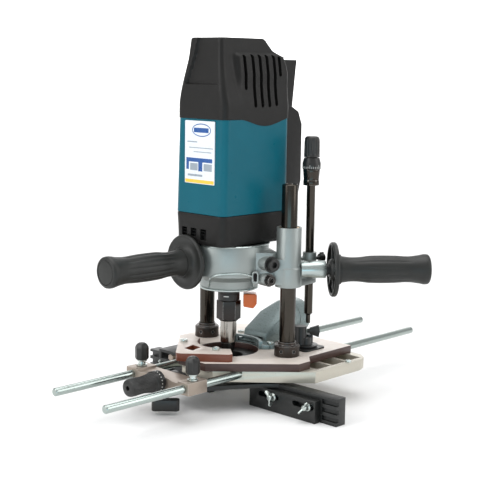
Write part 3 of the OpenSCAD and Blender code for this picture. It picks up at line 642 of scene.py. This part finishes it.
# ------------------------------------------------------------------ handles
def grip_bm(fl=0.05, n=12):
    prof = [(0.0, -1.0), (11.6, -1.0), (14.2, -0.2)]
    prof = smooth_prof([(15.2, 2.4), (13.9, 6), (12.8, 12), (12.2, 18), (12.6, 27), (13.7, 36), (14.0, 48), (13.8, 62), (13.2, 72), (13.3, 79), (14.2, 86), (15.2, 91), (15.3, 94.0)], 4)
    prof = [(0.0, 0.5), (15.4, 0.5)] + prof + [(15.0, 95.6), (14.3, 96.5), (13.4, 97.0), (12.2, 97.1), (11.9, 96.5), (11.5, 96.4), (11.2, 96.9), (6, 97.3), (0, 97.4)]
    def mod(a, r, z):
        k = sstep(16, 26, z) * (1 - sstep(72, 82, z))
        c = abs(math.cos(a * n / 2))
        return r * (1 - fl * k * (1 - c ** 0.7) * 0.6)
    return lathe(prof, 144, mod)

def guard_bm(spoked=False):
    if not spoked:
        prof = smooth_prof([(5.2, -3.2), (9, -3.0), (16, -1.4), (23, -0.6), (26.4, -2.0)], 4) + [(27.1, -1.9), (27.4, -1.0), (27.3, 0.4), (26.6, 1.4)] + smooth_prof([(25.4, 1.9), (21, 1.5), (17.5, 2.3), (15.6, 4.2), (14.6, 7.5)], 5) + [(5.2, 7.5), (5.2, -3.2)]
        return lathe(prof, 128)
    rim = lathe([(24.3, -1.6), (25.2, -2.5), (26.6, -2.4), (27.4, -1.3), (27.4, 1.3), (26.6, 2.4), (25.2, 2.4), (24.3, 1.4), (24.3, -1.6)], 128)
    hub = lathe([(5.2, -3.4), (9.6, -3.4), (10.6, -2.4), (11.2, 0.5), (15.0, 2.2), (15.0, 7.0), (5.2, 7.0), (5.2, -3.4)], 96)
    web = lathe([(14.5, 1.4), (24.8, 0.2), (24.8, 1.6), (14.5, 3.2), (14.5, 1.4)], 96)
    sp = []
    for i in range(6):
        b = box_bm(9, 25, -1.5, 1.5, -1.4, 1.2, 0.5, 2)
        bmesh.ops.transform(b, matrix=Matrix.Rotation(math.radians(60 * i + 12), 4, "Z"), verts=b.verts)
        sp.append(b)
    return join(rim, hub, web, *sp)

LP, LA = (-47.6, 14.5, 112.9), (-0.998, 0.056, 0)
RP, RA = (60, -87, 106.5), (0.758, -0.652, 0)
for nm, P, A, body, sp in (("left", LP, LA, "lock_handle", False), ("right", RP, RA, "carriage", True)):
    g = grip_bm(0.10 if nm == "left" else 0.05)
    place(g, P, A)
    add(nm + "_grip_finish", bm_mesh(nm + "_grip", g), body, M["grip"], (nm + "_handle", nm + "_end_cap"), 28)
    g = guard_bm(sp)
    place(g, P, A)
    add(nm + "_guard_finish", bm_mesh(nm + "_guard", g), body, M["grip"], (), 34)
    nk = lathe([(0, -9.6), (5.6, -9.6), (6.4, -9.0), (6.4, -6.2), (5.4, -5.8), (5.4, -4.6), (7.6, -4.2), (7.6, -2.9), (0, -2.9)], 64)
    place(nk, P, A)
    add(nm + "_neck", bm_mesh(nm + "_neck", nk), body, M["plastic"], ())
DONE.update(("left_handle", "right_handle", "left_end_cap", "right_end_cap"))

# ------------------------------------------------------------------ casting dress: top bead, arch lip, oil slot, bolts
bead = lathe([(37.5, 129.4), (40.3, 129.3), (40.9, 129.9), (41.0, 130.6), (40.5, 131.1), (37.5, 131.1), (37.5, 129.4)], 160)
add("casting_bead", bm_mesh("casting_bead", bead), "carriage", M["boss"], ())
def surf_r(z):
    return lerp_tab([(84.5, 29.2), (94, 31.1), (100, 40.05), (130, 40.05)], z)
# arch-shaped raised lip on the front of the ring
pts = []
for i in range(49):
    t = i / 48.0
    u = (t - 0.5) * 2
    az = math.radians(226 + 4 + 47 * u)
    z = 88.4 + 15.8 * (1 - abs(u) ** 2.6) ** 0.75
    pts.append((az, z))
rows = []
for az, z in pts:
    r0 = surf_r(z)
    row = []
    for k in range(8):
        a = 2 * math.pi * k / 8
        row.append(((r0 + 0.3 + 1.5 * math.cos(a)) * math.cos(az), (r0 + 0.3 + 1.5 * math.cos(a)) * math.sin(az), z + 1.35 * math.sin(a)))
    rows.append(row)
add("casting_arch", bm_mesh("casting_arch", loft(rows)), "carriage", M["boss"], (), 60)
low = lathe([(26, 84.1), (29.4, 84.0), (30.3, 84.5), (30.4, 85.6), (29.6, 86.2), (26, 86.2), (26, 84.1)], 160)
add("casting_lip", bm_mesh("casting_lip", low), "carriage", M["boss"], ())

def socket_bolt(name, P, d, r, h, mat, body="carriage", washer=0, reps=(), star=False):
    sock = [(r * 0.52 * math.cos(math.radians(60 * i)), r * 0.52 * math.sin(math.radians(60 * i))) for i in range(6)]
    b = prism(name, [circ(0, 0, r, 64), sock], h, 0.5, 3)
    parts = [b, lathe([(0, 0), (r * 0.6, 0), (r * 0.6, h * 0.25), (0, h * 0.25)], 32)]
    if washer:
        wz = lathe([(r * 0.4, -1.5), (washer, -1.5), (washer + 0.1, -0.2), (washer - 0.3, 0.1), (r * 0.4, 0.1), (r * 0.4, -1.5)], 64)
        parts.append(wz)
    bm = join(*parts)
    place(bm, P, d)
    return add(name, bm_mesh(name, bm), body, M[mat], reps)
BD = (-0.18, -0.984, 0)
def off(P, d, t):
    return tuple(a + b * t for a, b in zip(P, d))
B1, B2 = (3.4, -54.5, 113.6), (2.2, -53.5, 97.8)
socket_bolt("clamp_bolt_upper", off(B1, BD, 1.6), BD, 6.2, 4.6, "plastic", washer=8.1, reps=("clamp_bolts",))
socket_bolt("clamp_bolt_lower", off(B2, BD, 0.8), BD, 4.9, 4.0, "nut", washer=6.3)
DONE.add("clamp_bolts")
# split of the clamp beside the lower bolt: a near-black sheet as painted shade in the gap, framed by a cast rim
sp = prism("sp", [round_poly([(-1.5, -4), (1.5, -4), (1.5, 4), (-1.5, 4)], 1.5, 5)], 1.2, 0.1, 1)
rimo = prism("rm", [round_poly([(-3.3, -6.2), (3.3, -6.2), (3.3, 6.2), (-3.3, 6.2)], 3.3, 6), round_poly([(-1.9, -4.6), (1.9, -4.6), (1.9, 4.6), (-1.9, 4.6)], 1.9, 6)], 2.0, 0.5, 2)
FD = (-0.845, -0.534, 0)
SP = (-5.6, -42.4, 100.2)
place(sp, SP, FD); place(rimo, SP, FD)
add("clamp_split", bm_mesh("clamp_split", sp), "carriage", M["slot_dark"], ())
add("clamp_split_rim", bm_mesh("clamp_split_rim", rimo), "carriage", M["cast"], ())

# ------------------------------------------------------------------ spindle nose, collet nut, lock button
nut = prism("nut", [[(12.4 * math.cos(math.radians(60 * i + 18)), 12.4 * math.sin(math.radians(60 * i + 18))) for i in range(6)]], 19.5, 0.7, 3)
bmesh.ops.translate(nut, verts=nut.verts, vec=(0, 0, 51.0 * MM))
ch = lathe([(0, 49.6), (9.4, 49.6), (11.0, 51.2), (0, 51.2)], 64)
add("collet_nut_finish", bm_mesh("collet_nut_finish", join(nut, ch)), "spindle", M["nut"], ("collet_nut",))
nose = lathe([(0, 70.5), (10.2, 70.5), (11.2, 71.4), (11.2, 77.6), (10.7, 78.2), (11.4, 78.8), (11.4, 84.0), (0, 84.0)], 96)
add("nose_finish", bm_mesh("nose_finish", nose), "spindle", M["plastic"], ())
mk = prism("mk", [round_poly([(-2.6, -0.45), (2.6, -0.45), (2.6, 0.45), (-2.6, 0.45)], 0.3, 3)], 0.5, 0.05, 1)
place(mk, (11.15 * math.cos(math.radians(212)), 11.15 * math.sin(math.radians(212)), 75.8), (math.cos(math.radians(212)), math.sin(math.radians(212)), 0))
add("nose_mark", bm_mesh("nose_mark", mk), "spindle", M["mark"], ())
DONE.add("collet_nut")

# ground shank and cutter with two flutes
sh = lathe([(0, 26.6), (7.3, 26.6), (8.2, 27.6), (8.2, 54.6), (0, 54.6)], 96)
add("shank_finish", bm_mesh("shank_finish", sh), "spindle", M["steel"], ("cutter",))
def cmod(a, r, z):
    k = math.cos(2 * (a + z * 0.05))
    return r * (1 - 0.34 * max(0.0, k) ** 1.5) if r > 1 else r
ct = lathe([(0, 16.6), (7.4, 16.6), (7.6, 17.2), (7.6, 19), (7.6, 21), (7.6, 23), (7.6, 25), (7.6, 26.4), (0, 26.9)], 72, cmod)
add("cutter_finish", bm_mesh("cutter_finish", ct), "spindle", M["nut"], ())
DONE.add("cutter")

# orange button: wedge with a ribbed thumb face
bt = prism("bt", [round_poly([(14.8, 64.8), (25.0, 63.0), (28.0, 67.0), (28.4, 76.6), (26.2, 77.9), (14.8, 77.9)], 1.4, 4)], 15.4, 0.9, 3)
bmesh.ops.transform(bt, matrix=Matrix(((1, 0, 0, 0), (0, 0, -1, 7.7 * MM), (0, 1, 0, 0), (0, 0, 0, 1))), verts=bt.verts)
rb = [box_bm(27.6, 28.7, -6.0, 6.0, z, z + 1.0, 0.3, 1) for z in (67.6, 70.0, 72.4, 74.8)]
bt = join(bt, *rb)
bmesh.ops.rotate(bt, matrix=Matrix.Rotation(math.radians(-45), 3, "Z"), verts=bt.verts)
add("lock_button_finish", bm_mesh("lock_button_finish", bt), "spindle_lock", M["orange"], ("lock_button",))
DONE.add("lock_button")

# ------------------------------------------------------------------ depth stop dress
kn = lathe(smooth_prof([(0, 217.2), (7.5, 217.2), (7.9, 218.6), (7.9, 226), (7.7, 233.6), (6.9, 236.4), (4.8, 237.9), (0, 238.1)], 3), 144, lambda a, r, z: r * (1 - 0.075 * (0.5 + 0.5 * math.cos(18 * a)) * sstep(218.5, 219.5, z) * (1 - sstep(233, 236, z))))
place(kn, (57, -58, 0))
add("depth_knob_finish", bm_mesh("depth_knob_finish", kn), "stop_knob", M["plastic"], ("depth_knob",), 40)
sc = lathe([(3.2, 205.0), (8.6, 205.0), (9.2, 205.7), (9.2, 211.4), (8.9, 212.2), (7.7, 216.4), (3.2, 216.9)], 96)
place(sc, (57, -58, 0))
add("depth_scale_finish", bm_mesh("depth_scale_finish", sc), "stop_scale", M["plastic"], ("depth_scale",))
tk = []
for i in range(30):
    a = math.radians(12 * i)
    hgt = 3.4 if i % 5 == 0 else 1.9
    b = box_bm(9.0, 9.32, -0.16, 0.16, 206.0, 206.0 + hgt, 0.0)
    bmesh.ops.rotate(b, matrix=Matrix.Rotation(a, 3, "Z"), verts=b.verts)
    tk.append(b)
tk = join(*tk); place(tk, (57, -58, 0))
add("depth_ticks", bm_mesh("depth_ticks", tk), "stop_scale", M["mark"], ())
DONE.update(("depth_knob", "depth_scale"))

# ------------------------------------------------------------------ micrometer: knurled ring, dots, ribbed barrel, end hole
K = (-101.2, -8, 6.5)
bar = lathe([(0, 0.4), (9.8, 0.4), (10.5, 1.0), (10.5, 9.4), (9.9, 10.3), (9.5, 10.5), (9.5, 12), (9.3, 12.4), (9.0, 15), (8.3, 21), (8.3, 25), (8.6, 30), (8.7, 36.6), (7.9, 38.8), (6.6, 39.5), (2.4, 39.5), (2.2, 38.8), (2.2, 35.5), (0, 35.5)], 144, lambda a, r, z: r * (1 - 0.035 * (0.5 + 0.5 * math.cos(36 * a)) * (1 if 13 < z < 37 and r > 8 else 0)))
st = lathe([(0, -25.6), (2.9, -25.6), (2.9, 1.0), (0, 1.0)], 48)
bar = join(bar, st)
place(bar, K, (-1, 0, 0))
add("micro_knob_finish", bm_mesh("micro_knob_finish", bar), "micrometer", M["plastic"], ("micro_knob",), 40)
dt = []
for i in range(20):
    b = lathe([(0, 10.2), (0.5, 10.2), (0.55, 10.62), (0, 10.72)], 10)
    place(b, (0, 0, 5.2), (math.cos(2 * math.pi * i / 20), math.sin(2 * math.pi * i / 20), 0))
    dt.append(b)
dt = join(*dt); place(dt, K, (-1, 0, 0))
add("micro_dots", bm_mesh("micro_dots", dt), "micrometer", M["mark"], ())
DONE.add("micro_knob")

# ------------------------------------------------------------------ dust hood: closed slanted duct, low slot, lip plate, outlet
hz = CADBOX["dust_hood"][0].z / MM
OR = 31.2
hp = [(41, -13, 0.1), (41, 19, 0.1), (43.5, -13, 11.6), (43.5, 19, 11.6), (66, -15, 26), (66, 19, 26), (72, -15, 26), (72, 19, 26), (72, -15, 0.1), (72, 19, 0.1)]
for x in (84, 87):
    hp += [(x, 2 + 19.4 * math.cos(2 * math.pi * i / 40), 19.5 + 19.4 * math.sin(2 * math.pi * i / 40)) for i in range(40)]
hb = bmesh.new()
for q in hp:
    hb.verts.new(Vector(q) * MM)
r_ = bmesh.ops.convex_hull(hb, input=list(hb.verts))
bmesh.ops.delete(hb, geom=[g for g in r_["geom_interior"] if isinstance(g, bmesh.types.BMVert)], context="VERTS")
bmesh.ops.dissolve_limit(hb, angle_limit=math.radians(1.5), verts=list(hb.verts), edges=list(hb.edges))
bmesh.ops.bevel(hb, geom=[e for e in hb.edges if len(e.link_faces) == 2 and e.calc_face_angle(0) > math.radians(28)], offset=1.1 * MM, segments=3, profile=0.5, affect="EDGES", clamp_overlap=True)
hb = boolean(hb, [box_bm(30, 58, -9, 15, 2.0, 6.6, 0.5, 2)], "hood")
A0, A1 = math.radians(-47), math.radians(50)
def sector(r0, r1, h, n=36):
    pts = [(r1 * math.cos(A0 + (A1 - A0) * i / n), r1 * math.sin(A0 + (A1 - A0) * i / n)) for i in range(n + 1)]
    pts += [(r0 * math.cos(A1 - (A1 - A0) * i / n), r0 * math.sin(A1 - (A1 - A0) * i / n)) for i in range(n + 1)]
    return prism("sec", [pts], h, 0.45, 2)
lipa, lipb = (boolean(q, [box_bm(28, 58, -9, 15, 2.0, 6.6, 0.0, 2)], "lip") for q in (sector(OR, 42.0, 4.4), sector(OR + 0.2, 35.0, 8.6)))
pads = [prism("pad", [circ(34.5 + 2.0, y * 1.0, 6.4, 32)], 4.2, 0.45, 2) for y in (-27, 27)]
outl = lathe([(16.5, 86.5), (19.3, 86.5), (19.3, 88.5), (18.7, 89.0), (18.7, 92), (19.4, 92.6), (19.4, 107.4), (18.8, 108.6), (17.0, 108.6), (16.5, 108.0), (16.5, 86.5)], 96)
place(outl, (0, 2, 19.5), (1, 0, 0))
# dark disc inside the outlet: painted shade of the bore
inn = lathe([(0, 86.9), (16.7, 86.9), (16.7, 87.3), (0, 87.3)], 64)
place(inn, (0, 2, 19.5), (1, 0, 0))
hood = join(hb, lipa, lipb, outl, *pads)
bmesh.ops.translate(hood, verts=hood.verts, vec=(0, 0, hz * MM))
bmesh.ops.translate(inn, verts=inn.verts, vec=(0, 0, hz * MM))
add("dust_hood_finish", bm_mesh("dust_hood_finish", hood), BODY["dust_hood"], M["hood"], ("dust_hood",), 30)
add("dust_hood_bore_painted_shade", bm_mesh("dust_hood_bore_painted_shade", inn), BODY["dust_hood"], M["slot_dark"], ())
DONE.add("dust_hood")

# ------------------------------------------------------------------ wing screws, each left at its own angle
WA = (24, -38, 66, 12)
for i, (y, w) in enumerate(zip((-73, -118, 40, 84), WA)):
    hub = lathe(smooth_prof([(0, 0.0), (4.7, 0.0), (4.7, 1.0), (3.7, 1.5), (3.5, 4.6), (2.9, 6.0), (0, 6.3)], 3), 48)
    shk = lathe([(0, -18), (1.9, -18), (1.9, 0.2), (0, 0.2)], 24)
    wg = []
    for s in (-1, 1):
        p = round_poly([(0, 1.0), (s * 3.5, 1.4), (s * 8.0, 3.2), (s * 10.2, 6.4), (s * 8.6, 8.8), (s * 5.4, 7.6), (0, 5.6)], 1.2, 4)
        if s < 0:
            p = p[::-1]
        b = prism("w", [p], 1.9, 0.55, 2)
        bmesh.ops.transform(b, matrix=Matrix(((0, 0, 1, -0.95 * MM), (1, 0, 0, 0), (0, 1, 0, 0), (0, 0, 0, 1))), verts=b.verts)
        wg.append(b)
    bm = join(hub, shk, *wg)
    bmesh.ops.rotate(bm, matrix=Matrix.Rotation(math.radians(w), 3, "Z"), verts=bm.verts)
    bmesh.ops.scale(bm, vec=(0.82, 0.82, 1), verts=bm.verts)
    place(bm, (-10.8, y, -14), (-1, 0, 0))
    n = "wing_screw_%d" % (i + 1)
    add(n + "_finish", bm_mesh(n, bm), "wing_" + "abcd"[i], M["zinc_s"], (n,), 40)
    DONE.add(n)

def facet_knob(z0, h, r):
    prof = [(0, z0), (r - 1.4, z0), (r - 0.5, z0 + 0.8), (r, z0 + 2.0), (r, z0 + h - 5.2), (r - 0.5, z0 + h - 3.6), (r - 1.9, z0 + h - 1.6), (r - 3.6, z0 + h - 0.5), (0, z0 + h)]
    def mod(a, rr, z):
        k = sstep(z0 + 0.6, z0 + 2.0, z) * (1 - 0.7 * sstep(z0 + h - 3.8, z0 + h, z))
        t = (a * 8 / (2 * math.pi)) % 1.0
        f = math.cos(math.pi / 8) / math.cos((t - 0.5) * math.pi / 4)
        return rr * (1 + (f - 1) * k)
    return lathe(prof, 96, mod)
for nm, y, body in (("front", -46, "clamp_knob_front"), ("rear", 27, "clamp_knob_rear")):
    b0 = CADBOX["block_knob_" + nm]
    cx0, cy0 = (b0[0].x + b0[1].x) / 2 / MM, (b0[0].y + b0[1].y) / 2 / MM
    kb = facet_knob(19.4, 17.2, 6.8)
    place(kb, (cx0, cy0, 0))
    add("block_knob_%s_finish" % nm, bm_mesh("bk" + nm, kb), body, M["plastic"], ("block_knob_" + nm,), 12)
    cl = lathe([(0, 13.2), (5.0, 13.2), (5.4, 13.6), (5.4, 14.6), (3.6, 15.2), (3.4, 17.4), (4.8, 18.0), (4.9, 19.5), (0, 19.5)], 64)
    place(cl, (cx0, cy0, 0))
    add("block_collar_" + nm, bm_mesh("bc" + nm, cl), body, M["zinc_s"], ())
    DONE.add("block_knob_" + nm)

for n, (m, w) in SOFT.items():
    if n not in DONE:
        soften(n, M[m], w)
INNER = {"plunge_springs": "steel", "column_bushes": "brass", "stator": "winding", "brush_holders": "brass", "end_shield": "cast", "spindle_bearings": "steel", "left_lock_stud": "steel", "armature_core": "winding", "commutator": "brass", "cooling_fan": "plastic"}
for n, m in INNER.items():
    o = N[n]
    o.data.materials.clear()
    o.data.materials.append(M[m])

# ------------------------------------------------------------------ floor and light
def studio():
    zf = -0.029
    bm = bmesh.new()
    prof = [(-3.0, zf), (-1.0, zf), (0.6, zf)]
    for i in range(1, 33):
        a = math.radians(84 * i / 32)
        prof.append((0.6 + 3.4 * math.sin(a), zf + 3.4 * (1 - math.cos(a))))
    h = Vector((0.7162, 0.6979, 0)); r = Vector((0.6979, -0.7162, 0))
    rows = []
    for d, z in prof:
        rows.append([bm.verts.new(h * d + r * s + Vector((0, 0, z))) for s in (-6, -3, 0, 3, 6)])
    for a, b in zip(rows, rows[1:]):
        for i in range(4):
            bm.faces.new((a[i], a[i + 1], b[i + 1], b[i]))
    me = bm_mesh("floor", bm)
    for p in me.polygons:
        p.use_smooth = True
    o = bpy.data.objects.new("studio_floor", me)
    bpy.context.scene.collection.objects.link(o)
    m, nt, b = new_mat("studio_white")
    v, _ = coords(nt)
    nt.links.new(ramp(nt, noise(nt, v, 3, 2, 0.5), [(0.3, (0.86, 0.86, 0.86)), (0.7, (0.88, 0.88, 0.88))]), b.inputs["Base Color"])
    b.inputs["Roughness"].default_value = 0.75
    b.inputs["Specular IOR Level"].default_value = 0.1
    me.materials.append(m)
    w = bpy.data.worlds.new("w")
    bpy.context.scene.world = w
    w.use_nodes = True
    bg = w.node_tree.nodes["Background"]
    bg.inputs[0].default_value = (1, 1, 1, 1)
    bg.inputs[1].default_value = 0.62

    def area(name, pos, target, size, power, col=(1, 1, 1)):
        l = bpy.data.lights.new(name, "AREA")
        l.shape = "RECTANGLE"; l.size = size[0]; l.size_y = size[1]
        l.energy = power; l.color = col
        o = bpy.data.objects.new(name, l)
        bpy.context.scene.collection.objects.link(o)
        d = Vector(target) - Vector(pos)
        o.matrix_world = Matrix.Translation(Vector(pos)) @ basis(-d).to_4x4()
        return o
    c = Vector((0, 0, 0.12))
    top = c + Vector((0.1, 0.1, 1.7))
    area("top", top, c, (1.8, 1.8), 25)
    left = c - r * 1.5 - h * 0.9 + Vector((0, 0, 0.9))
    area("left", left, c, (1.2, 1.4), 17)
    right = c + r * 1.7 - h * 0.5 + Vector((0, 0, 0.7))
    area("right", right, c, (0.9, 1.4), 9)
    cool = c - h * 1.5 - r * 0.1 + Vector((0, 0, -0.02))
    area("cool", cool, Vector((0, 0, 0.03)), (1.3, 0.22), 2.0, (0.30, 0.74, 0.95))
    back = c + h * 1.6 + Vector((0, 0, 1.4))
    area("back", back, c + h * 3.6 + Vector((0, 0, 0.7)), (3.0, 1.0), 60)
studio()
